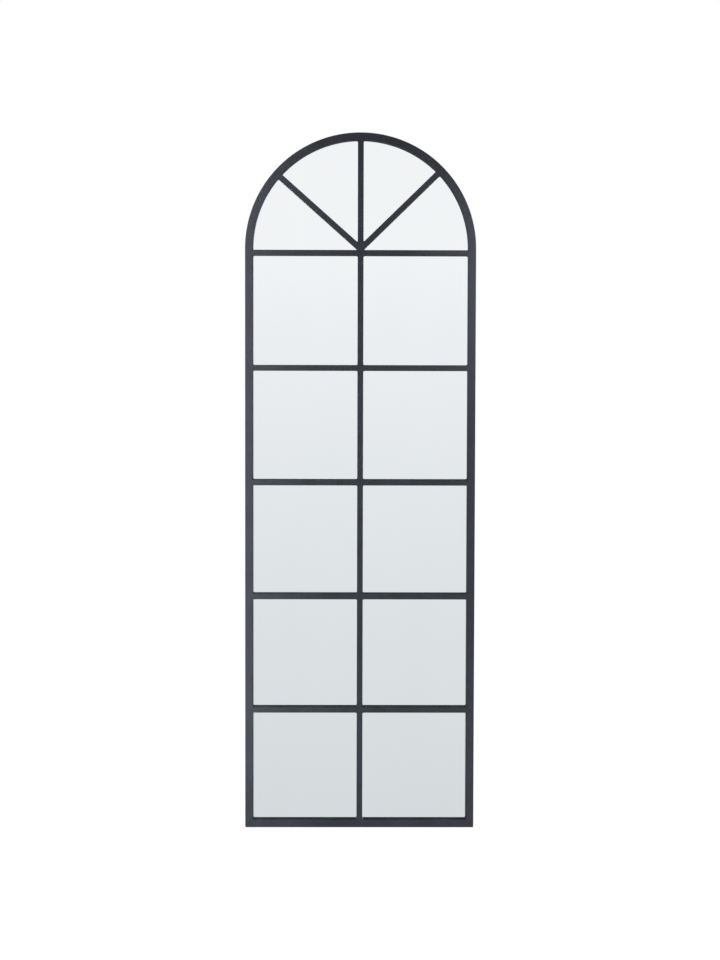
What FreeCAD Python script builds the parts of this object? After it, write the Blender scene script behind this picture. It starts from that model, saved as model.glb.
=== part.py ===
import FreeCAD, Part
import math
import os
import Sketcher

# An arched window mirror: one sheet of mirror glass behind a welded grid of steel tube.
# Millimetres, +Z up. The front faces -Y. The origin is the middle of the bottom rail's underside,
# half way through the frame's depth.

document = FreeCAD.newDocument("arched_window_mirror")

# ---- driving sizes: each is written once, here -------------------------------------------------

SIZES = (
    ("frame_width", 594, "outer width; the arch is half a circle of this diameter"),
    ("frame_height", 1800, "floor to the top of the arch"),
    ("frame_face", 20, "width of the frame tube, seen from the front"),
    ("frame_depth", 20, "depth of the frame tube, front to back"),
    ("frame_wall", 1.2, "wall of the frame tube"),
    ("frame_corner", 1.5, "rounding of the frame tube's long edges"),
    ("foot_corner", 3.5, "rounding of the two welded corners at the foot, which are ground off"),
    ("bar_face", 15, "width of a glazing bar, seen from the front"),
    ("bar_depth", 10, "depth of a glazing bar"),
    ("bar_wall", 1, "wall of a glazing bar"),
    ("bar_corner", 1, "rounding of a glazing bar's long edges"),
    ("pane_rows", 5, "rows of rectangular panes below the arch"),
    ("transom_drop", 3.5, "from the springing of the arch down to the top edge of the first transom"),
    ("hub_rise", 3, "from that edge up to the centre of the fan"),
    ("fan_degrees_left", 41.6, "slope of the left fan bar, from the horizontal"),
    ("fan_degrees_right", 44.2, "slope of the right fan bar, from the horizontal"),
    ("glass_gap", 1, "between the frame and the edge of the glass"),
    ("board_gap", 0.3, "between the frame and the edge of the board, which closes the gap behind"),
    ("glass_thickness", 3, "mirror glass"),
    ("tape_thickness", 1, "foam tape between the glass and its board"),
    ("tape_width", 25, "one strip of that tape"),
    ("tape_margin", 20, "from the foot of the glass to the foot of each strip"),
    ("tape_inner_offset", 85, "middle line of the glass to the middle of an inner strip"),
    ("tape_outer_offset", 230, "middle line of the glass to the middle of an outer strip"),
    ("tape_inner_reach", 200, "how far the inner strips go above the springing of the arch"),
    ("board_thickness", 3, "fibreboard behind the glass"),
    ("block_length", 40, "setting block under the glass"),
    ("block_offset", 80, "middle line of the mirror to the middle of a setting block"),
    ("clip_sheet", 1.2, "sheet that the offset clips are bent from"),
    ("clip_width", 16, "width of an offset clip"),
    ("clip_foot", 14, "how far a clip reaches over the frame tube"),
    ("clip_tongue", 12, "how far a clip reaches over the board"),
    ("clip_play", 0.3, "between a clip's step and the inner side of the frame tube"),
    ("clip_bend", 0.6, "inner radius of a clip's bends"),
    ("clip_first", 130, "floor to the lowest clip on a stile"),
    ("clip_drop", 203, "from the springing of the arch down to the highest clip on a stile"),
    ("clips_per_stile", 5, "number of clips on each stile"),
    ("clip_rail_offset", 160, "middle line of the mirror to a clip on the bottom rail"),
    ("clips_on_arch", 3, "number of clips on the arch, evenly spaced between its springings"),
    ("screw_shank", 3.5, "diameter of the self-tapping screws"),
    ("screw_head", 7, "diameter of their pan heads"),
    ("screw_head_height", 2, "height of their pan heads"),
    ("screw_dome", 0.8, "how far the rim of a pan head lies below its top"),
    ("screw_length", 9, "length under the head"),
    ("screw_tip", 2, "length of the pointed end"),
    ("screw_play", 0.05, "between a shank and the wall of its hole, on each side"),
    ("hanger_drop", 103, "from the springing of the arch down to the pivots of the hanging rings"),
    ("strap_sheet", 1.5, "sheet of a hanger strap"),
    ("strap_width", 11, "width of a hanger strap"),
    ("strap_length", 36, "from the pivot to the far end of a strap"),
    ("strap_corner", 3, "rounding of a strap's far corners"),
    ("strap_hole_first", 20, "from the pivot to the first screw"),
    ("strap_hole_spacing", 10.5, "between the two screws of a strap"),
    ("ring_wire", 3, "diameter of a hanging ring's wire"),
    ("ring_play", 0.1, "between the wire and the bore of its knuckle, on each side"),
    ("ring_clear", 0.3, "between a hanging ring and the strap that it lies over"),
    ("ring_half_width", 7.8, "middle of a ring to the centre line of its leg"),
    ("ring_bend", 2.2, "centre line radius of the bends beside the knuckle"),
    ("ring_leg", 6, "from the pivot to the centre of the ring's round end"),
    ("bumper_diameter", 12, "rubber bumper, at the frame"),
    ("bumper_taper", 1, "how much smaller its radius is at the wall"),
    ("bumper_height", 7, "height of a bumper, which stands further out than the hangers"),
    ("bumper_round", 0.8, "rounding of a bumper's rim"),
    ("bumper_low", 60, "floor to the lower bumpers"),
    ("bumper_drop", 53, "from the springing of the arch down to the upper bumpers"),
)

sheet = document.addObject("Spreadsheet::Sheet", "Sizes")
for row, (alias, number, meaning) in enumerate(SIZES, start=1):
    sheet.set(f"A{row}", alias)
    sheet.set(f"B{row}", str(number))
    sheet.set(f"C{row}", meaning)
    sheet.setAlias(f"B{row}", alias)
document.recompute()

# Planes, radii and spacings that several pieces share, worked out from the sizes.
PLACES = (
    ("spring_height", "Sizes.frame_height - Sizes.frame_width / 2"),
    ("inner_radius", "Sizes.frame_width / 2 - Sizes.frame_face"),
    ("stile_middle", "Sizes.frame_width / 2 - Sizes.frame_face / 2"),
    ("front", "-Sizes.frame_depth / 2"),
    ("back", "Sizes.frame_depth / 2"),
    ("glass_front", "front + Sizes.bar_depth"),
    ("tape_front", "glass_front + Sizes.glass_thickness"),
    ("board_front", "tape_front + Sizes.tape_thickness"),
    ("board_back", "board_front + Sizes.board_thickness"),
    ("first_transom_top", "spring_height - Sizes.transom_drop"),
    ("hub_height", "first_transom_top + Sizes.hub_rise"),
    ("row_pitch", "(first_transom_top - Sizes.frame_face) / Sizes.pane_rows"),
    ("bar_end", "inner_radius + Sizes.frame_corner"),
    ("highest_clip", "spring_height - Sizes.clip_drop"),
    ("clip_spacing", "(highest_clip - Sizes.clip_first) / (Sizes.clips_per_stile - 1)"),
    ("hanger_height", "spring_height - Sizes.hanger_drop"),
    ("pivot_stand", "Sizes.strap_sheet + Sizes.ring_clear + Sizes.ring_wire / 2"),
    ("knuckle_bore", "Sizes.ring_wire / 2 + Sizes.ring_play"),
)

places = document.addObject("App::VarSet", "Places")
for name, formula in PLACES:
    places.addProperty("App::PropertyFloat", name)
    places.setExpression(name, formula)
document.recompute()

BACKWARDS = FreeCAD.Vector(0, 1, 0)
UPWARDS = FreeCAD.Vector(0, 0, 1)
SIDEWAYS = FreeCAD.Vector(1, 0, 0)


def size(alias):
    """A driving size, as a number."""
    return float(sheet.get(alias))


# ---- how bodies, sketches and features are made ------------------------------------------------


def bind(thing, formulas):
    """Ties properties of an object to formulas of the sizes."""
    for path, formula in formulas.items():
        thing.setExpression(path, formula)


def new_body(label):
    """An empty body, labelled with the name of its piece."""
    body = document.addObject("PartDesign::Body", label)
    body.Label = label
    return body


def new_sketch(body, name, role):
    """A sketch on one of the body's own origin planes."""
    sketch = body.newObject("Sketcher::SketchObject", name)
    plane = [feature for feature in body.Origin.OriginFeatures if feature.Role == role][0]
    sketch.AttachmentSupport = (plane, "")
    sketch.MapMode = "FlatFace"
    return sketch


def line(sketch, start, end):
    """A line between two points of the sketch."""
    ends = [FreeCAD.Vector(u, v, 0) for u, v in (start, end)]
    return sketch.addGeometry(Part.LineSegment(*ends))


def round_line(sketch, centre, radius, angles=None):
    """A circle, or the arc between two angles in degrees, counterclockwise."""
    curve = Part.Circle(FreeCAD.Vector(*centre, 0), UPWARDS, radius)
    if angles:
        curve = Part.ArcOfCircle(curve, *[math.radians(angle) for angle in angles])
    return sketch.addGeometry(curve)


def constrain(sketch, kind, *where):
    """One geometric constraint."""
    return sketch.addConstraint(Sketcher.Constraint(kind, *where))


def dimension(sketch, name, formula, kind, *where):
    """A named dimension whose value follows a formula of the sizes."""
    sketch.renameConstraint(constrain(sketch, kind, *where), name)
    sketch.setExpression(f"Constraints.{name}", formula)


def polygon(sketch, points, closed=True):
    """Straight sides through the points, joined end to end; level and upright ones stay so."""
    ends = points[1:] + points[:1] if closed else points[1:]
    sides = [line(sketch, start, end) for start, end in zip(points, ends)]
    followers = sides[1:] + sides[:1] if closed else sides[1:]
    for side, follower in zip(sides, followers):
        constrain(sketch, "Coincident", side, 2, follower, 1)
    for side, (u, v), (next_u, next_v) in zip(sides, points, ends):
        if v == next_v:
            constrain(sketch, "Horizontal", side)
        if u == next_u:
            constrain(sketch, "Vertical", side)
    return sides


def rectangle(sketch, name, width, height, left=None, low=None):
    """A rectangle whose sides follow formulas; with no formula, a side lies on the sketch's axis."""
    sides = polygon(sketch, [(1, 1), (9, 1), (9, 9), (1, 9)])
    for side_name, formula, kind, axis in (("left", left, "DistanceX", -2), ("low", low, "DistanceY", -1)):
        if formula:
            dimension(sketch, f"{name}_{side_name}", formula, kind, -1, 1, sides[0], 1, 1)
        else:
            constrain(sketch, "PointOnObject", sides[0], 1, axis)
    dimension(sketch, f"{name}_width", width, "DistanceX", sides[0], 1, sides[0], 2, 8)
    dimension(sketch, f"{name}_height", height, "DistanceY", sides[1], 1, sides[1], 2, 8)


def pad(body, sketch, length, midplane=False, backwards=False):
    """The sketch pushed out by a length that follows a formula."""
    feature = body.newObject("PartDesign::Pad", f"{body.Label}_pad")
    feature.Profile = sketch
    feature.setExpression("Length", length)
    feature.Midplane = midplane
    feature.Reversed = backwards
    document.recompute()
    return feature


def pocket(body, sketch):
    """The sketch cut right through the body, both ways."""
    before = body.Shape.Volume
    feature = body.newObject("PartDesign::Pocket", f"{body.Label}_pocket")
    feature.Profile = sketch
    feature.Type = "ThroughAll"
    feature.Midplane = True
    document.recompute()
    if body.Shape.Volume >= before:
        raise RuntimeError(f"a pocket of {body.Label} cuts nothing")
    return feature


def fillet(body, radius, wanted):
    """Rounds those edges of the body's last feature that wanted(edge) picks."""
    base = body.Tip
    names = [f"Edge{n}" for n, edge in enumerate(base.Shape.Edges, start=1) if wanted(edge)]
    feature = body.newObject("PartDesign::Fillet", f"{body.Label}_fillet")
    feature.Base = (base, names)
    feature.setExpression("Radius", radius)
    document.recompute()
    return feature


def runs_along(direction):
    """Picks straight edges that run along a direction."""

    def wanted(edge):
        straight = isinstance(edge.Curve, Part.Line)
        return straight and edge.Curve.Direction.cross(direction).Length < 1e-6

    return wanted


def is_arc(edge):
    """Picks edges that are circles or arcs."""
    return isinstance(edge.Curve, Part.Circle)


def cut(label, base, *tools):
    """The base less each tool in turn; the last cut carries the piece's name."""
    for number, tool in enumerate(tools, start=1):
        last = number == len(tools)
        result = document.addObject("Part::Cut", label if last else f"{label}_cut_{number}")
        result.Base = base
        result.Tool = tool
        base = result
    result.Label = label
    return result


def joined(label, *shapes):
    """Several shapes made one."""
    result = document.addObject("Part::MultiFuse", label)
    result.Shapes = list(shapes)
    result.Refine = True
    result.Label = label
    return result


def mirrored(label, source):
    """The source on the other side of the mirror's middle line."""
    result = document.addObject("Part::Mirroring", label)
    result.Source = source
    result.Normal = SIDEWAYS
    result.Label = label
    return result


def box(label, length, width, height, position):
    """A plain box; each argument is a formula, and position has one for each axis."""
    result = document.addObject("Part::Box", label)
    bind(result, {"Length": length, "Width": width, "Height": height})
    bind(result, {f"Placement.Base.{axis}": formula for axis, formula in zip("xyz", position)})
    result.Label = label
    return result


def copies(label, pattern, placements):
    """Separate solids, all alike, in one piece list entry."""
    result = document.addObject("Part::Feature", label)
    result.Shape = Part.makeCompound([pattern.Shape.transformed(p.toMatrix(), True) for p in placements])
    result.Label = label
    return result


# ---- outer frame: steel tube, mitred at the foot and rolled to the arch -------------------------

# Each tube is an outline, which the glazing bars are fitted to, less its bore and its screw holes.


def ground_corner(body):
    """What is ground off the welded corner at the sketch's origin to leave it round."""
    sketch = new_sketch(body, "ground_corner", "XZ_Plane")
    low = line(sketch, (0, 0), (2, 0))
    curve = round_line(sketch, (2, 2), 2, (180, 270))
    upright = line(sketch, (0, 2), (0, 0))
    constrain(sketch, "Coincident", low, 1, -1, 1)
    constrain(sketch, "Coincident", upright, 2, low, 1)
    constrain(sketch, "Tangent", low, 2, curve, 2)
    constrain(sketch, "Tangent", upright, 1, curve, 1)
    constrain(sketch, "Horizontal", low)
    constrain(sketch, "Vertical", upright)
    dimension(sketch, "corner_radius", "Sizes.foot_corner", "Radius", curve, 2)
    return sketch


def mitred_outline(label, section_plane, section, length, direction, waste):
    """A tube's outline from the foot's left corner, with the waste triangle cut off at the mitre."""
    body = new_body(label)
    sketch = new_sketch(body, "section", section_plane)
    rectangle(sketch, "tube", *section)
    pad(body, sketch, length)
    fillet(body, "Sizes.frame_corner", runs_along(direction))
    mitre = new_sketch(body, "mitre", "XZ_Plane")
    sides = polygon(mitre, waste)
    constrain(mitre, "Coincident", sides[0], 1, -1, 1)
    dimension(mitre, "mitre_width", "Sizes.frame_face", "DistanceX", -1, 1, sides[1], 2, 9)
    dimension(mitre, "mitre_height", "Sizes.frame_face", "DistanceY", -1, 1, sides[1], 2, 9)
    pocket(body, mitre)
    pocket(body, ground_corner(body))
    bind(body, {"Placement.Base.x": "-Sizes.frame_width / 2", "Placement.Base.y": "Places.front"})
    return body


def rolled(label, *section):
    """Half a ring about the centre of the arch, from a rectangular section."""
    body = new_body(label)
    sketch = new_sketch(body, "section", "XY_Plane")
    rectangle(sketch, "tube", *section)
    ring = body.newObject("PartDesign::Revolution", f"{label}_half_turn")
    ring.Profile = sketch
    ring.ReferenceAxis = (sketch, ["V_Axis"])
    ring.Angle = 180
    ring.Reversed = True
    document.recompute()
    bind(body, {"Placement.Base.y": "Places.front", "Placement.Base.z": "Places.spring_height"})
    return body


tube = ("Sizes.frame_face", "Sizes.frame_depth")
left_stile_outline = mitred_outline(
    "left_stile_outline", "XY_Plane", tube, "Places.spring_height", UPWARDS, [(0, 0), (9, 0), (9, 9)]
)
right_stile_outline = mirrored("right_stile_outline", left_stile_outline)
left_rail_outline = mitred_outline(
    "left_rail_outline", "YZ_Plane", tube[::-1], "Sizes.frame_width / 2", SIDEWAYS, [(0, 0), (0, 9), (9, 9)]
)
bottom_rail_outline = joined(
    "bottom_rail_outline", left_rail_outline, mirrored("right_rail_outline", left_rail_outline)
)
arch_outline = rolled("arch_outline", *tube, "Places.inner_radius")
fillet(arch_outline, "Sizes.frame_corner", is_arc)
frame_outline = joined(
    "frame_outline", arch_outline, left_stile_outline, right_stile_outline, bottom_rail_outline
)

bore_face = "Sizes.frame_face - 2 * Sizes.frame_wall"
bore_depth = "Sizes.frame_depth - 2 * Sizes.frame_wall"
bore_side = "Sizes.frame_wall - Sizes.frame_width / 2"
bore_front = "Places.front + Sizes.frame_wall"
stile_bore = box(
    "stile_bore", bore_face, bore_depth, "Places.spring_height", (bore_side, bore_front, "0")
)
rail_bore = box(
    "rail_bore",
    "Sizes.frame_width - 2 * Sizes.frame_wall",
    bore_depth,
    bore_face,
    (bore_side, bore_front, "Sizes.frame_wall"),
)
arch_bore = rolled(
    "arch_bore", bore_face, bore_depth, "Places.inner_radius + Sizes.frame_wall", "Sizes.frame_wall"
)

# ---- where the clips, screws, hangers and bumpers go -------------------------------------------

# A place is on the frame's back face, in the middle of the tube or at its inner edge. Its own
# X axis points away from the glass and its Z axis points out of the back.


def on_back(x, z, outward):
    """A place on the back face at x and z, turned so that its X axis points along outward."""
    turn = FreeCAD.Rotation(outward, FreeCAD.Vector(), BACKWARDS, "ZXY")
    return FreeCAD.Placement(FreeCAD.Vector(x, places.back, z), turn)


def both_sides(x, z):
    """A place on the back of each stile, with the X axis outwards."""
    return [on_back(side * x, z, SIDEWAYS * side) for side in (-1, 1)]


def clip_places():
    """The inner back edge of the frame at each clip: stiles, bottom rail, arch."""
    found = []
    for number in range(int(size("clips_per_stile"))):
        found += both_sides(places.inner_radius, size("clip_first") + number * places.clip_spacing)
    for side in (-1, 1):
        found.append(on_back(side * size("clip_rail_offset"), size("frame_face"), UPWARDS * -1))
    steps = int(size("clips_on_arch")) + 1
    for number in range(1, steps):
        angle = math.pi * number / steps
        outward = FreeCAD.Vector(math.cos(angle), 0, math.sin(angle))
        edge = outward * places.inner_radius
        found.append(on_back(edge.x, places.spring_height + edge.z, outward))
    return found


def hanger_screw_places():
    """The back of the stiles at each hanger screw."""
    found = []
    for number in range(2):
        drop = size("strap_hole_first") + number * size("strap_hole_spacing")
        found += both_sides(places.stile_middle, places.hanger_height - drop)
    return found


def moved_along(found, x, z):
    """The same places, shifted along their own X and Z axes."""
    return [place * FreeCAD.Placement(FreeCAD.Vector(x, 0, z), FreeCAD.Rotation()) for place in found]


tube_middle = size("frame_face") / 2
clips_at = clip_places()
clip_screws_at = moved_along(clips_at, tube_middle, size("clip_sheet"))
hanger_screws_at = moved_along(hanger_screw_places(), 0, size("strap_sheet"))

hole_pattern = document.addObject("Part::Cylinder", "hole_pattern")
bind(
    hole_pattern,
    {
        "Radius": "Sizes.screw_shank / 2 + Sizes.screw_play",
        "Height": "Sizes.screw_length",
        "Placement.Base.z": "-Sizes.screw_length",
    },
)
document.recompute()
screw_holes = copies("screw_holes", hole_pattern, clip_screws_at + hanger_screws_at)

left_stile = cut("left_stile", left_stile_outline, stile_bore, screw_holes)
right_stile = mirrored("right_stile", left_stile)
bottom_rail = cut("bottom_rail", bottom_rail_outline, rail_bore, screw_holes)
arch_tube = cut("arch_tube", arch_outline, arch_bore, screw_holes)

# ---- glazing bars: rectangular tube, flush with the frame's front and fitted to it --------------

# A bar starts too long, reaching over the rounded edges of what it meets, and is then cut to
# their outlines, as a welded and ground joint is.


def bar_solid(label, length, position, turn=None, wall=None):
    """A bar's outline, or its bore where a wall is given, along its own X axis from position."""
    body = new_body(label)
    sketch = new_sketch(body, "section", "XY_Plane")
    if wall:
        rectangle(sketch, "bore", length, f"Sizes.bar_depth - 2 * {wall}", low=wall)
        pad(body, sketch, f"Sizes.bar_face - 2 * {wall}", midplane=True)
    else:
        rectangle(sketch, "bar", length, "Sizes.bar_depth")
        pad(body, sketch, "Sizes.bar_face", midplane=True)
        fillet(body, "Sizes.bar_corner", runs_along(SIDEWAYS))
    if turn:
        body.Placement.Rotation = FreeCAD.Rotation(BACKWARDS, -1)
        bind(body, {"Placement.Rotation.Angle": turn})
    bind(body, {f"Placement.Base.{axis}": formula for axis, formula in zip("xyz", position)})
    return body


class Bar:
    """A glazing bar: its outline, and the hollow bar that is left when it is fitted."""

    def __init__(self, label, length, x, z, turn=None):
        position = (x, "Places.front", z)
        self.label = label
        self.outline = bar_solid(f"{label}_outline", length, position, turn)
        self.bore = bar_solid(f"{label}_bore", length, position, turn, "Sizes.bar_wall")

    def fitted_to(self, *neighbours):
        """The hollow bar, cut to the outlines of its neighbours."""
        return cut(self.label, self.outline, self.bore, *neighbours)


centre = Bar(
    "centre_bar",
    "Places.spring_height + Places.bar_end - Sizes.frame_face + Sizes.frame_corner",
    "0",
    "Sizes.frame_face - Sizes.frame_corner",
    "-90",
)
bars = [centre.fitted_to(frame_outline)]

transom_length = "Places.bar_end - Sizes.bar_face / 2 + Sizes.bar_corner"
transom_starts = (("left", "-Places.bar_end"), ("right", "Sizes.bar_face / 2 - Sizes.bar_corner"))
first_transoms = []
for number in range(int(size("pane_rows"))):
    middle = f"Places.first_transom_top - Sizes.bar_face / 2 - {number} * Places.row_pitch"
    for side, start in transom_starts:
        transom = Bar(f"transom_{number + 1}_{side}", transom_length, start, middle)
        bars.append(transom.fitted_to(frame_outline, centre.outline))
        if number == 0:
            first_transoms.append(transom.outline)

fan_length = "Places.bar_end + Places.spring_height - Places.hub_height"
for side, turn in (("left", "Sizes.fan_degrees_left - 180"), ("right", "-Sizes.fan_degrees_right")):
    fan_bar = Bar(f"fan_bar_{side}", fan_length, "0", "Places.hub_height", turn)
    bars.append(fan_bar.fitted_to(frame_outline, centre.outline, *first_transoms))

# ---- glass, tape and board ---------------------------------------------------------------------


def arched_sheet(label, thickness, front, gap):
    """A flat sheet that fills the frame but for a gap all round, from its front plane backwards."""
    body = new_body(label)
    sketch = new_sketch(body, "outline", "XZ_Plane")
    foot, right = polygon(sketch, [(-9, 2), (9, 2), (9, 20)], closed=False)
    top = round_line(sketch, (0, 20), 9, (0, 180))
    left = line(sketch, (-9, 20), (-9, 2))
    constrain(sketch, "Tangent", right, 2, top, 1)
    constrain(sketch, "Tangent", top, 2, left, 1)
    constrain(sketch, "Coincident", left, 2, foot, 1)
    constrain(sketch, "Vertical", left)
    constrain(sketch, "PointOnObject", top, 3, -2)
    dimension(sketch, "foot_height", f"Sizes.frame_face + {gap}", "DistanceY", -1, 1, foot, 1, 2)
    dimension(sketch, "spring_height", "Places.spring_height", "DistanceY", -1, 1, top, 3, 20)
    dimension(sketch, "arch_radius", f"Places.inner_radius - {gap}", "Radius", top, 9)
    pad(body, sketch, thickness, backwards=True)
    bind(body, {"Placement.Base.y": front})
    return body


def grouped(label, members):
    """Separate solids in one piece list entry."""
    result = document.addObject("Part::Compound", label)
    result.Links = members
    result.Label = label
    return result


mirror_glass = arched_sheet(
    "mirror_glass", "Sizes.glass_thickness", "Places.glass_front", "Sizes.glass_gap"
)
backing_board = arched_sheet(
    "backing_board", "Sizes.board_thickness", "Places.board_front", "Sizes.board_gap"
)

tape_foot = "Sizes.frame_face + Sizes.glass_gap + Sizes.tape_margin"
strips = []
for offset, reach in (("outer", "0"), ("inner", "Sizes.tape_inner_reach")):
    for side in ("-", ""):
        middle = f"{side}Sizes.tape_{offset}_offset"
        strips.append(
            box(
                f"tape_strip_{len(strips) + 1}",
                "Sizes.tape_width",
                "Sizes.tape_thickness",
                f"Places.spring_height + {reach} - ({tape_foot})",
                (f"{middle} - Sizes.tape_width / 2", "Places.tape_front", tape_foot),
            )
        )
bonding_tape = grouped("bonding_tape", strips)

blocks = []
for side in ("-", ""):
    blocks.append(
        box(
            f"setting_block_{len(blocks) + 1}",
            "Sizes.block_length",
            "Places.board_front - Places.glass_front",
            "Sizes.glass_gap",
            (
                f"{side}Sizes.block_offset - Sizes.block_length / 2",
                "Places.glass_front",
                "Sizes.frame_face",
            ),
        )
    )
setting_blocks = grouped("setting_blocks", blocks)

# ---- offset clips and screws -------------------------------------------------------------------


def round_hole(body, name, role, across, down=None):
    """A screw's hole through the body, at formulas across and, below the axis, down."""
    sketch = new_sketch(body, name, role)
    hole = round_line(sketch, (3, -3 if down else 0), 1)
    if across:
        dimension(sketch, f"{name}_across", across, "DistanceX", -1, 1, hole, 3, 3)
    else:
        constrain(sketch, "PointOnObject", hole, 3, -2)
    if down:
        dimension(sketch, f"{name}_down", down, "DistanceY", hole, 3, -1, 1, 3)
    else:
        constrain(sketch, "PointOnObject", hole, 3, -1)
    dimension(sketch, f"{name}_radius", "Sizes.screw_shank / 2 + Sizes.screw_play", "Radius", hole, 1)
    pocket(body, sketch)


def offset_clip():
    """A clip bent twice from sheet: its foot lies on the frame's back, its tongue on the board."""
    body = new_body("clip_pattern")
    sketch = new_sketch(body, "bent_strip", "XZ_Plane")
    corners = [(-13, -3), (-1, -3), (-1, 0), (14, 0), (14, 1), (-2, 1), (-2, -2), (-13, -2)]
    tongue, step, sole, toe, top, riser, tongue_top, tip = polygon(sketch, corners)
    constrain(sketch, "PointOnObject", sole, 1, -1)
    dimension(sketch, "play", "Sizes.clip_play", "DistanceX", sole, 1, -1, 1, 1)
    dimension(sketch, "foot", "Sizes.clip_foot", "DistanceX", -1, 1, sole, 2, 14)
    dimension(sketch, "toe", "Sizes.clip_sheet", "DistanceY", toe, 1, toe, 2, 1)
    dimension(sketch, "riser", "Sizes.clip_sheet", "DistanceX", riser, 1, sole, 1, 1)
    dimension(sketch, "tip", "Sizes.clip_sheet", "DistanceY", tip, 2, tip, 1, 1)
    dimension(sketch, "step", "Places.back - Places.board_back", "DistanceY", step, 1, step, 2, 3)
    dimension(sketch, "tongue", "Sizes.clip_tongue", "DistanceX", tongue_top, 2, tongue_top, 1, 11)
    pad(body, sketch, "Sizes.clip_width", midplane=True)
    across = runs_along(BACKWARDS)
    step_x = -size("clip_play")
    sheet_edge = size("clip_sheet")
    low = places.board_back - places.back
    inside = {(step_x, 0.0), (step_x - sheet_edge, low + sheet_edge)}
    outside = {(step_x, low), (step_x - sheet_edge, sheet_edge)}
    for bends, radius in ((inside, "Sizes.clip_bend"), (outside, "Sizes.clip_bend + Sizes.clip_sheet")):
        fillet(body, radius, lambda edge: across(edge) and lies_on(edge, bends))
    round_hole(body, "screw_hole", "XY_Plane", "Sizes.frame_face / 2")
    return body


def lies_on(edge, spots):
    """Whether a straight edge crosses the XZ plane at one of the spots."""
    middle = edge.CenterOfMass
    return any(math.hypot(middle.x - x, middle.z - z) < 0.01 for x, z in spots)


def turned(label, points, dimensions, on_axis):
    """A body turned about its own Z axis from a profile whose first and last points are on it."""
    body = new_body(label)
    sketch = new_sketch(body, "profile", "XZ_Plane")
    sides = polygon(sketch, points)
    constrain(sketch, "PointOnObject", sides[0], 1, -2)
    constrain(sketch, "PointOnObject", sides[on_axis], 1, -1)
    for name, formula, kind, *where in dimensions(sides):
        dimension(sketch, name, formula, kind, *where)
    turn = body.newObject("PartDesign::Revolution", f"{label}_turn")
    turn.Profile = sketch
    turn.ReferenceAxis = (sketch, ["V_Axis"])
    turn.Angle = 360
    document.recompute()
    return body


def screw_dimensions(sides):
    """Lengths and radii of a screw, whose head sits on its own XY plane."""
    point, shank, seat, rim = sides[:4]
    return (
        ("length", "Sizes.screw_length", "DistanceY", point, 1, -1, 1, 9),
        ("point", "Sizes.screw_tip", "DistanceY", point, 1, point, 2, 2),
        ("shank", "Sizes.screw_shank / 2", "DistanceX", -1, 1, shank, 1, 2),
        ("head", "Sizes.screw_head / 2", "DistanceX", -1, 1, seat, 2, 4),
        ("head_height", "Sizes.screw_head_height", "DistanceY", rim, 1, rim, 2, 2),
    )


def at_height(level):
    """Picks round edges at a height along the body's own Z axis."""
    return lambda edge: is_arc(edge) and abs(edge.CenterOfMass.z - level) < 0.01


clip_pattern = offset_clip()
retaining_clips = copies("retaining_clips", clip_pattern, clips_at)

screw_profile = [(0, -9), (2, -7), (2, 0), (4, 0), (4, 2), (0, 2)]
screw_pattern = turned("screw_pattern", screw_profile, screw_dimensions, 2)
fillet(screw_pattern, "Sizes.screw_dome", at_height(size("screw_head_height")))
clip_screws = copies("clip_screws", screw_pattern, clip_screws_at)
hanger_screws = copies("hanger_screws", screw_pattern, hanger_screws_at)

# ---- hangers: a strap with a curled knuckle, and a ring that swings in it -----------------------


def hanger_strap(label, side):
    """A strap on the back of a stile, below the knuckle that its upper end is curled into."""
    body = new_body(label)
    plate = new_sketch(body, "plate", "YZ_Plane")
    foot, back, top, front = polygon(plate, [(0, -35), (2, -35), (2, 0), (0, 0)])
    constrain(plate, "Coincident", top, 2, -1, 1)
    dimension(plate, "sheet", "Sizes.strap_sheet", "DistanceX", foot, 1, foot, 2, 2)
    dimension(plate, "reach", "Sizes.strap_length", "DistanceY", back, 1, back, 2, 35)
    pad(body, plate, "Sizes.strap_width", midplane=True)
    across = runs_along(BACKWARDS)
    far_end = -size("strap_length")
    fillet(body, "Sizes.strap_corner", lambda edge: across(edge) and edge.CenterOfMass.z < far_end + 1)
    outside = "Places.knuckle_bore + Sizes.strap_sheet"
    pad(body, knuckle_circle(body, "knuckle", outside), "Sizes.strap_width", midplane=True)
    pocket(body, knuckle_circle(body, "knuckle_bore", "Places.knuckle_bore"))
    round_hole(body, "upper_hole", "XZ_Plane", None, "Sizes.strap_hole_first")
    round_hole(body, "lower_hole", "XZ_Plane", None, "Sizes.strap_hole_first + Sizes.strap_hole_spacing")
    bind(
        body,
        {
            "Placement.Base.x": f"{side} * Places.stile_middle",
            "Placement.Base.y": "Places.back",
            "Placement.Base.z": "Places.hanger_height",
        },
    )
    return body


def knuckle_circle(body, name, radius):
    """A circle about the pivot of a strap's ring."""
    sketch = new_sketch(body, name, "YZ_Plane")
    ring = round_line(sketch, (3, 0), 2)
    constrain(sketch, "PointOnObject", ring, 3, -1)
    dimension(sketch, f"{name}_stand", "Places.pivot_stand", "DistanceX", -1, 1, ring, 3, 3)
    dimension(sketch, f"{name}_radius", radius, "Radius", ring, 2)
    return sketch


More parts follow.
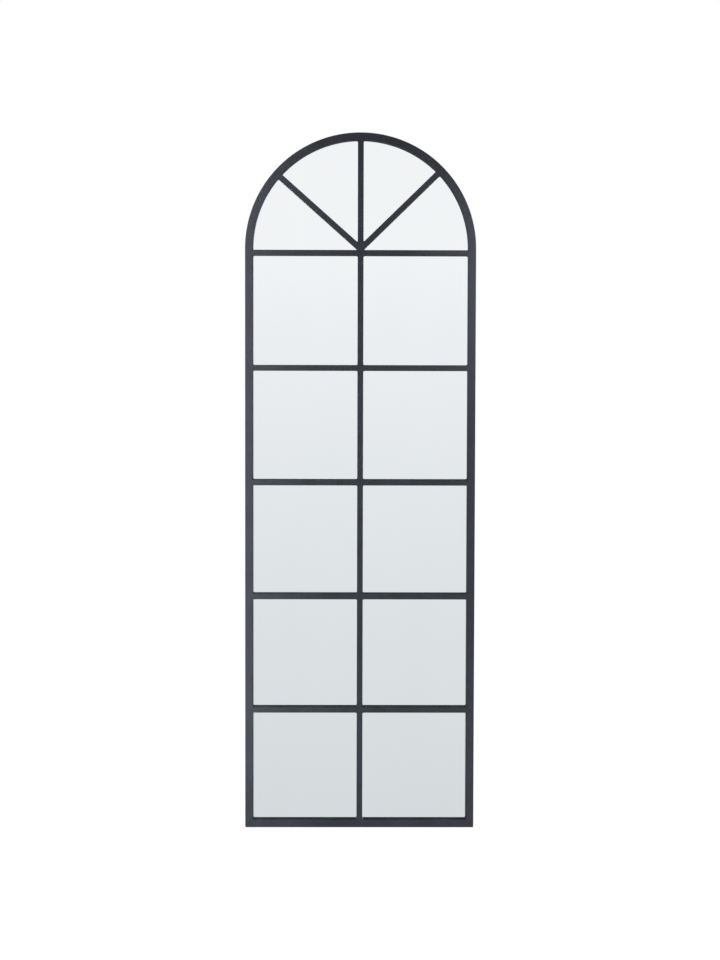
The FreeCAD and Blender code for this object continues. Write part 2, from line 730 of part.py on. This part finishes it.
def hanger_ring(label, side):
    """A D-shaped wire ring that hangs from its straight side, which turns in the knuckle."""
    body = new_body(label)
    path = new_sketch(body, "wire_path", "XZ_Plane")
    start = line(path, (0, 0), (6, 0))
    right_bend = round_line(path, (6, -2), 2, (0, 90))
    right_leg = line(path, (8, -2), (8, -6))
    end = round_line(path, (0, -6), 8, (180, 360))
    left_leg = line(path, (-8, -6), (-8, -2))
    left_bend = round_line(path, (-6, -2), 2, (90, 180))
    finish = line(path, (-6, 0), (0, 0))
    constrain(path, "Coincident", start, 1, -1, 1)
    constrain(path, "Coincident", finish, 2, -1, 1)
    for first, second in (
        ((start, 2), (right_bend, 2)),
        ((right_bend, 1), (right_leg, 1)),
        ((right_leg, 2), (end, 2)),
        ((end, 1), (left_leg, 1)),
        ((left_leg, 2), (left_bend, 2)),
        ((left_bend, 1), (finish, 1)),
    ):
        constrain(path, "Tangent", *first, *second)
    for flat in (start, finish):
        constrain(path, "Horizontal", flat)
    for upright in (right_leg, left_leg):
        constrain(path, "Vertical", upright)
    constrain(path, "Equal", right_bend, left_bend)
    constrain(path, "PointOnObject", end, 3, -2)
    dimension(path, "bend", "Sizes.ring_bend", "Radius", right_bend, 2)
    dimension(path, "half_width", "Sizes.ring_half_width", "Radius", end, 8)
    dimension(path, "leg", "Sizes.ring_leg", "DistanceY", end, 3, -1, 1, 6)
    section = new_sketch(body, "wire_section", "YZ_Plane")
    wire = round_line(section, (0, 0), 1)
    constrain(section, "Coincident", wire, 3, -1, 1)
    dimension(section, "wire_radius", "Sizes.ring_wire / 2", "Radius", wire, 1)
    pipe = body.newObject("PartDesign::AdditivePipe", f"{label}_wire")
    pipe.Profile = section
    pipe.Spine = path
    document.recompute()
    bind(
        body,
        {
            "Placement.Base.x": f"{side} * Places.stile_middle",
            "Placement.Base.y": "Places.back + Places.pivot_stand",
            "Placement.Base.z": "Places.hanger_height",
        },
    )
    return body


hangers = []
for side, sign in (("left", -1), ("right", 1)):
    hangers.append(hanger_strap(f"hanger_strap_{side}", sign))
    hangers.append(hanger_ring(f"hanger_ring_{side}", sign))

# ---- bumpers -----------------------------------------------------------------------------------


def bumper_dimensions(sides):
    """Radii and height of a bumper, whose wide end is on its own XY plane."""
    seat, flank = sides[:2]
    return (
        ("seat", "Sizes.bumper_diameter / 2", "DistanceX", -1, 1, seat, 2, 6),
        ("face", "Sizes.bumper_diameter / 2 - Sizes.bumper_taper", "DistanceX", -1, 1, flank, 2, 5),
        ("height", "Sizes.bumper_height", "DistanceY", flank, 1, flank, 2, 7),
    )


bumper_pattern = turned("bumper_pattern", [(0, 0), (6, 0), (5, 7), (0, 7)], bumper_dimensions, 0)
fillet(bumper_pattern, "Sizes.bumper_round", at_height(size("bumper_height")))
bumpers_at = []
for height in (size("bumper_low"), places.spring_height - size("bumper_drop")):
    bumpers_at += both_sides(places.stile_middle, height)
wall_bumpers = copies("wall_bumpers", bumper_pattern, bumpers_at)

# ---- the finished pieces, one file each ---------------------------------------------------------

PIECES = [arch_tube, left_stile, right_stile, bottom_rail, *bars]
PIECES += [mirror_glass, bonding_tape, backing_board, setting_blocks]
PIECES += [retaining_clips, clip_screws, *hangers, hanger_screws, wall_bumpers]

document.recompute()
for thing in document.Objects:
    if {"Invalid", "Error"} & set(thing.State):
        raise RuntimeError(f"{thing.Label} failed: {thing.State}")
for piece in PIECES:
    if piece.Shape.isNull() or not piece.Shape.isValid() or not piece.Shape.Solids:
        raise RuntimeError(f"{piece.Label} has no valid solid")

os.makedirs("parts", exist_ok=True)
for piece in PIECES:
    piece.Shape.exportStep(f"parts/{piece.Label}.step")
    box_size = piece.Shape.BoundBox
    print(
        f"{piece.Label:22} solids {len(piece.Shape.Solids):3}  volume {piece.Shape.Volume:12.1f}  "
        f"x {box_size.XMin:8.2f} {box_size.XMax:8.2f}  y {box_size.YMin:7.2f} {box_size.YMax:7.2f}  "
        f"z {box_size.ZMin:8.2f} {box_size.ZMax:8.2f}"
    )
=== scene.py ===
import math

import bpy
import numpy as np
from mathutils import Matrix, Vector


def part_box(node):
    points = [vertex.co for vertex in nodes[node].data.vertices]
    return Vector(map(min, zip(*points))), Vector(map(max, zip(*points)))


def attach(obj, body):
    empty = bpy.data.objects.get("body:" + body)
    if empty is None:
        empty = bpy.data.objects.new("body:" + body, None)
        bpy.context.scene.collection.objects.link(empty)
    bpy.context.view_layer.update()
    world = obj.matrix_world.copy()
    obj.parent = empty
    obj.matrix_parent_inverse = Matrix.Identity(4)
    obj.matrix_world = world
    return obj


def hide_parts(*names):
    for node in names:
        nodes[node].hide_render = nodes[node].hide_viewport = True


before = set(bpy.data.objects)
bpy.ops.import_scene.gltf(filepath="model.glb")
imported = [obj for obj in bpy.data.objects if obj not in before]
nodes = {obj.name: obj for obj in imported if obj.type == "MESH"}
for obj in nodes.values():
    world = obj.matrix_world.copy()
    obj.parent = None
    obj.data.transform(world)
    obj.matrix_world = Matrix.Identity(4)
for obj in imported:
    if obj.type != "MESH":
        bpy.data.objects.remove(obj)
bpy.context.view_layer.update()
scene = bpy.context.scene
scene.view_settings.view_transform = "Standard"

# ---- camera -------------------------------------------------------------------------------------
# The mirror is seen from almost four metres, a little left of its middle and at chest height. The
# lens shift keeps the uprights nearly parallel while the foot stays in the picture.

camera = bpy.data.objects.new("camera", bpy.data.cameras.new("camera"))
scene.collection.objects.link(camera)
scene.camera = camera
camera.location = (-0.025, -3.863, 1.263)
camera.rotation_euler = [math.radians(angle) for angle in (90 - 2.064, -0.134, -0.355)]
camera.data.lens = 56.1
camera.data.shift_y = -0.0875

# ---- studio -------------------------------------------------------------------------------------
# A white studio: a floor that runs out of sight, and a pale surround that is brightest just above
# the horizon and dark overhead. Soft boxes with grids stand on both sides in front of the mirror,
# the low ones for its foot, and a broad one lights its back.


def new_material(name):
    """A material with an empty node tree and its output node."""
    material = bpy.data.materials.new(name)
    material.use_nodes = True
    material.node_tree.nodes.clear()
    output = material.node_tree.nodes.new("ShaderNodeOutputMaterial")
    return material, material.node_tree, output


def add_node(tree, kind, inputs=None, **settings):
    """A node of a kind, with its settings and with its input values or links by socket name."""
    node = tree.nodes.new(kind)
    for name, value in settings.items():
        setattr(node, name, value)
    for name, value in (inputs or {}).items():
        if isinstance(value, bpy.types.NodeSocket):
            tree.links.new(value, node.inputs[name])
        else:
            node.inputs[name].default_value = value
    return node


def graded(tree, factor, stops):
    """A colour ramp through (position, colour) stops."""
    ramp = add_node(tree, "ShaderNodeValToRGB", {"Fac": factor})
    while len(ramp.color_ramp.elements) < len(stops):
        ramp.color_ramp.elements.new(0.5)
    for element, (position, colour) in zip(ramp.color_ramp.elements, stops):
        element.position = position
        element.color = (*colour, 1)
    return ramp.outputs["Color"]


def seen_straight(tree):
    """One for a ray from the camera, also behind something clear, and nought for all others."""
    ray = add_node(tree, "ShaderNodeLightPath").outputs
    kinds = {0: ray["Is Camera Ray"], 1: ray["Is Transmission Ray"]}
    return add_node(tree, "ShaderNodeMath", kinds, operation="MAXIMUM").outputs[0]


def mixed(tree, share, first, second):
    """The first node's shader with a share of the second's."""
    return add_node(tree, "ShaderNodeMixShader", {0: share, 1: first.outputs[0], 2: second.outputs[0]})


surround = bpy.data.worlds.new("surround")
scene.world = surround
surround.use_nodes = True
sky = surround.node_tree
sky.nodes.clear()

# The surround's shades by height: the horizon is at 0.35, and 1 is some 40 degrees up and above.
direction = add_node(sky, "ShaderNodeTexCoord").outputs["Generated"]
upward = add_node(sky, "ShaderNodeSeparateXYZ", {"Vector": direction}).outputs["Z"]
height = add_node(sky, "ShaderNodeMapRange", {"Value": upward, "From Min": -0.35, "From Max": 0.65})
shades = [
    (0.03, (0.752, 0.774, 0.784)),
    (0.24, (0.865, 0.886, 0.893)),
    (0.41, (1.005, 1.005, 1.005)),
    (0.50, (1.005, 1.005, 1.005)),
    (0.58, (0.20, 0.20, 0.21)),
    (1.00, (0.10, 0.10, 0.11)),
]
reflected = graded(sky, height.outputs["Result"], shades)
seen = add_node(sky, "ShaderNodeBackground", {"Color": (1, 1, 1, 1), "Strength": 1})
mirrored = add_node(sky, "ShaderNodeBackground", {"Color": reflected, "Strength": 1})
ambient = add_node(sky, "ShaderNodeBackground", {"Color": (0.97, 0.98, 1, 1), "Strength": 0.38})
glossy = add_node(sky, "ShaderNodeLightPath").outputs["Is Glossy Ray"]
shown = mixed(sky, seen_straight(sky), mixed(sky, glossy, ambient, mirrored), seen)
add_node(sky, "ShaderNodeOutputWorld", {"Surface": shown.outputs[0]})

floor_mesh = bpy.data.meshes.new("studio_floor")
floor_mesh.from_pydata([(-40, -40, 0), (40, -40, 0), (40, 40, 0), (-40, 40, 0)], [], [(0, 1, 2, 3)])
studio_floor = bpy.data.objects.new("studio_floor", floor_mesh)
scene.collection.objects.link(studio_floor)
studio_floor.visible_glossy = False

# Seen directly the floor is white, less the soft shadow that its diffuse share keeps.
floor_white, tree, output = new_material("floor_white")
glow = add_node(tree, "ShaderNodeEmission", {"Color": (1, 1, 1, 1), "Strength": 0.95})
veil = add_node(tree, "ShaderNodeBsdfDiffuse", {"Color": (0.14, 0.14, 0.14, 1)})
paper = add_node(tree, "ShaderNodeBsdfDiffuse", {"Color": (0.8, 0.8, 0.8, 1)})
bright = add_node(tree, "ShaderNodeAddShader", {0: glow.outputs[0], 1: veil.outputs[0]})
shown = mixed(tree, seen_straight(tree), paper, bright)
tree.links.new(shown.outputs[0], output.inputs["Surface"])
floor_mesh.materials.append(floor_white)


def soft_box(name, place, target, size, power, spread=50):
    """A rectangular lamp with a grid that keeps its light within spread degrees of its aim."""
    lamp = bpy.data.lights.new(name, "AREA")
    lamp.shape = "RECTANGLE"
    lamp.size, lamp.size_y = size
    lamp.energy = power
    lamp.spread = math.radians(spread)
    holder = bpy.data.objects.new(name, lamp)
    scene.collection.objects.link(holder)
    holder.location = place
    aim = np.subtract(target, place)
    tilt = math.atan2(math.hypot(aim[0], aim[1]), -aim[2])
    holder.rotation_euler = (tilt, 0, math.atan2(-aim[0], aim[1]))
    holder.visible_camera = False


soft_box("far_left", (-1.0, -1.7, 0.90), (-0.20, 0, 0.90), (0.4, 1.8), 1.0)
soft_box("far_right", (1.0, -1.7, 0.90), (0.25, 0, 0.90), (0.4, 1.8), 2.4)
soft_box("near_left", (-0.75, -1.0, 1.00), (-0.48, 0, 1.02), (0.3, 1.9), 4.2)
soft_box("near_right", (0.78, -1.0, 1.50), (0.60, 0, 1.46), (0.3, 0.4), 1.4)
soft_box("low_left", (-0.80, -1.0, 0.13), (-0.35, 0, 0.03), (0.3, 0.25), 0.50)
soft_box("low_right", (0.80, -1.0, 0.13), (0.20, 0, 0.03), (0.3, 0.25), 0.38)
soft_box("behind", (1.0, 2.4, 1.50), (0, 0, 0.90), (0.9, 1.8), 12, spread=110)

# ---- frame and glazing bars ---------------------------------------------------------------------
# The outer frame is steel tube, mitred at the foot and rolled to the arch; the glazing bars are
# flatter tube welded between. All have one satin charcoal powder coat with a fine grain.


def grained(name, tones, scales, rough, relief, **shader):
    """A finish that wanders between two tones and two roughnesses, over a fine relief.

    The noise scales, in features per metre, are of the wide clouding, of the specks in the colour
    and of the relief, whose height is in metres.
    """
    material, tree, output = new_material(name)
    place = add_node(tree, "ShaderNodeTexCoord").outputs["Object"]
    cloud, speck, bumps = [
        add_node(tree, "ShaderNodeTexNoise", {"Vector": place, "Scale": scale, "Detail": 2}).outputs["Fac"]
        for scale in scales
    ]
    blend = add_node(tree, "ShaderNodeMath", {0: cloud, 1: speck}, operation="ADD").outputs[0]
    half = add_node(tree, "ShaderNodeMath", {0: blend, 1: 0.5}, operation="MULTIPLY").outputs[0]
    sheen = {"Value": cloud, "From Min": 0.3, "From Max": 0.7, "To Min": rough[0], "To Max": rough[1]}
    grain = {"Height": bumps, "Strength": 1, "Distance": relief}
    inputs = {
        "Base Color": graded(tree, half, [(0.36, tones[0]), (0.64, tones[1])]),
        "Roughness": add_node(tree, "ShaderNodeMapRange", sheen).outputs["Result"],
        "Normal": add_node(tree, "ShaderNodeBump", grain).outputs[0],
    }
    for socket, value in shader.items():
        inputs[socket.replace("_", " ")] = value
    surface = add_node(tree, "ShaderNodeBsdfPrincipled", inputs)
    tree.links.new(surface.outputs[0], output.inputs["Surface"])
    return material


def finish(material, *names):
    """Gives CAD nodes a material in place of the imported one."""
    for name in names:
        mesh = nodes[name].data
        mesh.materials.clear()
        mesh.materials.append(material)


charcoal = grained(
    "charcoal_powder_coat",
    tones=[(0.014, 0.016, 0.023), (0.029, 0.033, 0.046)],
    scales=(14, 560, 1000),
    rough=(0.52, 0.60),
    relief=0.00002,
    Specular_IOR_Level=0.25,
)
tubes = ["arch_tube", "left_stile", "right_stile", "bottom_rail"]
transoms = [f"transom_{row}_{side}" for row in range(1, 6) for side in ("left", "right")]
finish(charcoal, *tubes, "centre_bar", *transoms, "fan_bar_left", "fan_bar_right")

# ---- corner welds -------------------------------------------------------------------------------
# Where two tubes or bars meet, a small bead of weld fills the inner corner. It runs from the front
# edge back to the glass and is powder coated along with the frame.


def new_piece(name, points, faces, material, body):
    """A mesh piece with one material that rides on a CAD body; sharp where its faces meet steeply."""
    mesh = bpy.data.meshes.new(name)
    mesh.from_pydata(points, [], faces)
    mesh.materials.append(material)
    mesh.shade_smooth()
    mesh.set_sharp_from_angle(angle=math.radians(35))
    piece = bpy.data.objects.new(name, mesh)
    scene.collection.objects.link(piece)
    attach(piece, body)
    return piece


def stacked(bodies):
    """Points and faces of bodies that run through a list of (outline, y) and are closed at its ends.

    A body's outlines have equally many points (x, z), counterclockwise as seen from the front, and
    the first outline is its front end.
    """
    points = []
    faces = []
    for outlines in bodies:
        count = len(outlines[0][0])
        first = len(points)
        for outline, y in outlines:
            points += np.insert(outline, 1, y, axis=1).tolist()
        last = len(points) - count
        for low in range(first, last, count):
            for i in range(count):
                j = (i + 1) % count
                faces.append((low + i, low + count + i, low + count + j, low + j))
        faces.append(tuple(range(first, first + count)))
        faces.append(tuple(range(last + count - 1, last - 1, -1)))
    return points, faces


def half_corners(slope):
    """Inner corners right of the middle, with a fan bar of that slope in radians.

    Each is a point (x, z) and the directions in which its two edges run on.
    """
    left, right, up, down = (-1, 0), (1, 0), (0, 1), (0, -1)
    corners = [((stile_inner, rail_top), left, up), ((bar_half, rail_top), right, up)]
    for row in range(1, 6):
        low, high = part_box(f"transom_{row}_right")
        corners += [((stile_inner, low.z), left, down), ((bar_half, low.z), right, down)]
        corners.append(((stile_inner, high.z), left, up))
        if row > 1:
            corners.append(((bar_half, high.z), right, up))

    # The fan bar stands on the first transom and leaves a crotch with the centre bar. Its two edges
    # and the centre bar's run out to the arch.
    hub = np.array((0, fan_foot + hub_rise))
    along = np.array((math.cos(slope), math.sin(slope)))
    across = np.array((-along[1], along[0])) * bar_half
    foot = hub - across + along * (across[1] - hub_rise) / along[1]
    crotch = hub + across + along * (bar_half - across[0]) / along[0]
    corners += [(foot, right, along), (crotch, up, along)]
    for edge, turn in ((across, 1), (-across, -1)):
        start = hub + edge - arch_centre
        passed = start @ along
        meet = start + along * (math.sqrt(passed**2 - start @ start + stile_inner**2) - passed)
        rim = np.array((-meet[1], meet[0])) / stile_inner * turn
        corners.append((arch_centre + meet, -along, rim))
    crown = np.array((bar_half, math.sqrt(stile_inner**2 - bar_half**2)))
    corners.append((arch_centre + crown, down, (crown[1] / stile_inner, -crown[0] / stile_inner)))
    return corners


def weld_beads(corners, reach, layers):
    """One bead for each corner (point, one edge's direction, the other's), as bodies to stack.

    Section in the XZ plane: with h half the angle between the edges u and v, the arc about the
    point p + (u + v) / |u + v| * reach / cos h, of radius reach * tan h, touches both edges at
    p + u * reach and p + v * reach; the closing point is sunk in the bars, 0.4 mm behind p.
    Along y the section is drawn towards that closing point by the share in layers (y, share).
    """
    point, first, second = [np.array(part) for part in zip(*corners)]
    between = first + second
    between /= np.linalg.norm(between, axis=1, keepdims=True)
    cosine = (first * between).sum(1, keepdims=True)
    centre = point + between * reach / cosine
    start = point + first * reach - centre
    end = point + second * reach - centre
    span = np.pi - 2 * np.arccos(np.clip(cosine, -1, 1))
    arc = [
        centre + (np.sin((1 - t) * span) * start + np.sin(t * span) * end) / np.sin(span)
        for t in np.linspace(0, 1, 8)
    ]
    sunk = point - between * 0.0004
    section = np.stack([*arc, sunk], axis=1)
    clockwise = first[:, 0] * second[:, 1] < first[:, 1] * second[:, 0]
    section[clockwise] = section[clockwise, ::-1]
    return [
        [(closing + (ring - closing) * share, y) for y, share in layers]
        for ring, closing in zip(section, sunk)
    ]


bar_half = round(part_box("centre_bar")[1].x, 4)
rail_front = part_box("bottom_rail")[0].y
rail_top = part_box("bottom_rail")[1].z
stile_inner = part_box("right_stile")[0].x
arch_centre = np.array((0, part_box("arch_tube")[0].z))
fan_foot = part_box("transom_1_right")[1].z
hub_rise = 0.003
fan_degrees = {-1: 41.6, 1: 44.2}
glass_low, glass_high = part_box("mirror_glass")

corners = []
for side, degrees in fan_degrees.items():
    flip = np.array((side, 1))
    corners += [[flip * part for part in corner] for corner in half_corners(math.radians(degrees))]

# A bead starts just behind the bars' fronts and swells to its full reach in the next 0.8 mm.
bead_layers = [(rail_front + 0.0004, 0.5), (rail_front + 0.0012, 1), (glass_low.y, 1)]
beads = weld_beads(corners, reach=0.0035, layers=bead_layers)
corner_welds = new_piece("corner_welds", *stacked(beads), charcoal, "mirror")

# ---- mirror glass -------------------------------------------------------------------------------
# One arched sheet of silvered float glass behind the grid. Its picture forms on the silvered back,
# which looks two thirds as deep as the glass is thick, so the bars' backs show in it as dark lines.


def arched_plate(width, foot, top, front, back):
    """A flat plate with an arched top, as a body to stack.

    Outline in the XZ plane, with r half the width: (r cos t, top - r + r sin t) for t from 0 to
    pi, then the two corners at the foot.
    """
    radius = width / 2
    turn = np.linspace(0, math.pi, 97)
    arch = np.column_stack([radius * np.cos(turn), top - radius + radius * np.sin(turn)])
    outline = np.vstack([arch, [(-radius, foot), (radius, foot)]])
    return [(outline, front), (outline, back)]


def silvered_glass():
    """Bright silvering seen through clear glass, with the faintest haze left by wiping."""
    material, tree, output = new_material("silvered_glass")
    place = add_node(tree, "ShaderNodeTexCoord").outputs["Object"]
    strokes = {"Vector": place, "Scale": (9, 9, 2.5), "Rotation": (0, 0.5, 0)}
    wiped = add_node(tree, "ShaderNodeMapping", strokes).outputs[0]
    haze = add_node(tree, "ShaderNodeTexNoise", {"Vector": wiped, "Scale": 1, "Detail": 4}).outputs["Fac"]
    polish = {"Value": haze, "From Min": 0.35, "From Max": 0.7, "To Min": 0.01, "To Max": 0.035}
    inputs = {
        "Base Color": graded(tree, haze, [(0.3, (0.880, 0.897, 0.914)), (0.7, (0.870, 0.888, 0.906))]),
        "Metallic": 1,
        "Roughness": add_node(tree, "ShaderNodeMapRange", polish).outputs["Result"],
    }
    surface = add_node(tree, "ShaderNodeBsdfPrincipled", inputs)
    tree.links.new(surface.outputs[0], output.inputs["Surface"])
    return material


refractive_index = 1.52
silver_plane = glass_low.y + (glass_high.y - glass_low.y) / refractive_index
sheet = arched_plate(glass_high.x - glass_low.x, glass_low.z, glass_high.z, silver_plane, glass_high.y)
silvered_sheet = new_piece("silvered_sheet", *stacked([sheet]), silvered_glass(), "mirror")
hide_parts("mirror_glass")

# ---- backing board, foam tape, setting blocks and bumpers ---------------------------------------
# Hardboard closes the back; its near-black colour is painted shade, so it shows as a dark line round
# the glass. White foam tape bonds it to the glass, which stands on two black rubber blocks. Bumpers
# of the same rubber, stuck to the frame, keep it off the wall.

# Near-black board tone: painted shade for the gap between glass and frame, which shows as a dark line.
board_painted_shade = grained(
    "hardboard_darkened_as_painted_shade",
    tones=[(0.020, 0.019, 0.017), (0.040, 0.037, 0.033)],
    scales=(9, 260, 900),
    rough=(0.55, 0.7),
    relief=0.00004,
)
finish(board_painted_shade, "backing_board")
foam = grained(
    "white_foam_tape",
    tones=[(0.70, 0.70, 0.67), (0.80, 0.80, 0.77)],
    scales=(30, 500, 1500),
    rough=(0.8, 0.9),
    relief=0.00005,
)
finish(foam, "bonding_tape")
rubber = grained(
    "black_rubber",
    tones=[(0.012, 0.012, 0.012), (0.024, 0.024, 0.024)],
    scales=(40, 500, 1800),
    rough=(0.6, 0.75),
    relief=0.00004,
)
finish(rubber, "setting_blocks", "wall_bumpers")

# ---- clips, hangers and screws ------------------------------------------------------------------
# Bent clips hold the board, and a D-ring on a strap hangs from each stile: all of zinc-plated
# steel. They are fixed with cross-recessed pan-head screws straight into the tube.

zinc = grained(
    "bright_zinc_plate",
    tones=[(0.44, 0.45, 0.46), (0.60, 0.59, 0.56)],
    scales=(60, 700, 2200),
    rough=(0.30, 0.44),
    relief=0.00001,
    Metallic=1,
)
straps = ["hanger_strap_left", "hanger_strap_right"]
rings = ["hanger_ring_left", "hanger_ring_right"]
finish(zinc, "retaining_clips", *straps, *rings)


def cross_outline(arm, half_width, steps):
    """The outline of a cross with four arms, counterclockwise, with steps points to each side."""
    knots = []
    for cosine, sine in ((1, 0), (0, 1), (-1, 0), (0, -1)):
        for x, z in ((arm, -half_width), (arm, half_width), (half_width, half_width)):
            knots.append((x * cosine - z * sine, x * sine + z * cosine))
    knots = np.array(knots)
    sides = np.roll(knots, -1, axis=0) - knots
    shares = np.arange(steps) / steps
    return (knots[:, None] + sides[:, None] * shares[None, :, None]).reshape(-1, 2)


def pan_screw(top):
    """One screw about the Y axis, from its point to the bottom of its recess, as a body to stack.

    Turned part: the circle (radius cos a, y, radius sin a) at each (radius, y) of the profile,
    where y counts from the top of the head. Recess: the cross at that top, then a smaller one
    below it.
    """
    shank = 0.00175
    head = 0.0035
    profile = [(0.00001, -0.011), (shank, -0.009), (shank, -0.002), (head, -0.002), (head, -0.0008)]
    profile += [(0.00335, -0.0004), (0.0030, -0.00012), (0.0024, 0.0)]
    cross = cross_outline(arm=0.0019, half_width=0.00045, steps=4)
    angle = np.arctan2(cross[:, 1], cross[:, 0])
    circle = np.column_stack([np.cos(angle), np.sin(angle)])
    outlines = [(circle * radius, top + y) for radius, y in profile]
    outlines += [(cross, top), (cross * 0.5, top - 0.0012), (cross * 0.01, top - 0.0014)]
    return outlines


def screws(name, node):
    """Screws in place of a CAD node's, each turned a little differently."""
    # The points of the CAD screws are their foremost vertices.
    vertices = np.array([vertex.co for vertex in nodes[node].data.vertices])
    tips = vertices[vertices[:, 1] < vertices[:, 1].min() + 0.0001]
    places = np.unique(np.round(tips[:, ::2], 4), axis=0)
    outlines = pan_screw(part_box(node)[1].y)
    twist = np.random.default_rng(7).uniform(0, math.pi / 2, len(places))
    bodies = []
    for place, angle in zip(places, twist):
        turn = np.array([(math.cos(angle), math.sin(angle)), (-math.sin(angle), math.cos(angle))])
        bodies.append([(outline @ turn + place, y) for outline, y in outlines])
    piece = new_piece(name, *stacked(bodies), zinc, "mirror")
    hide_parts(node)


screws("clip_pan_screws", "clip_screws")
screws("hanger_pan_screws", "hanger_screws")
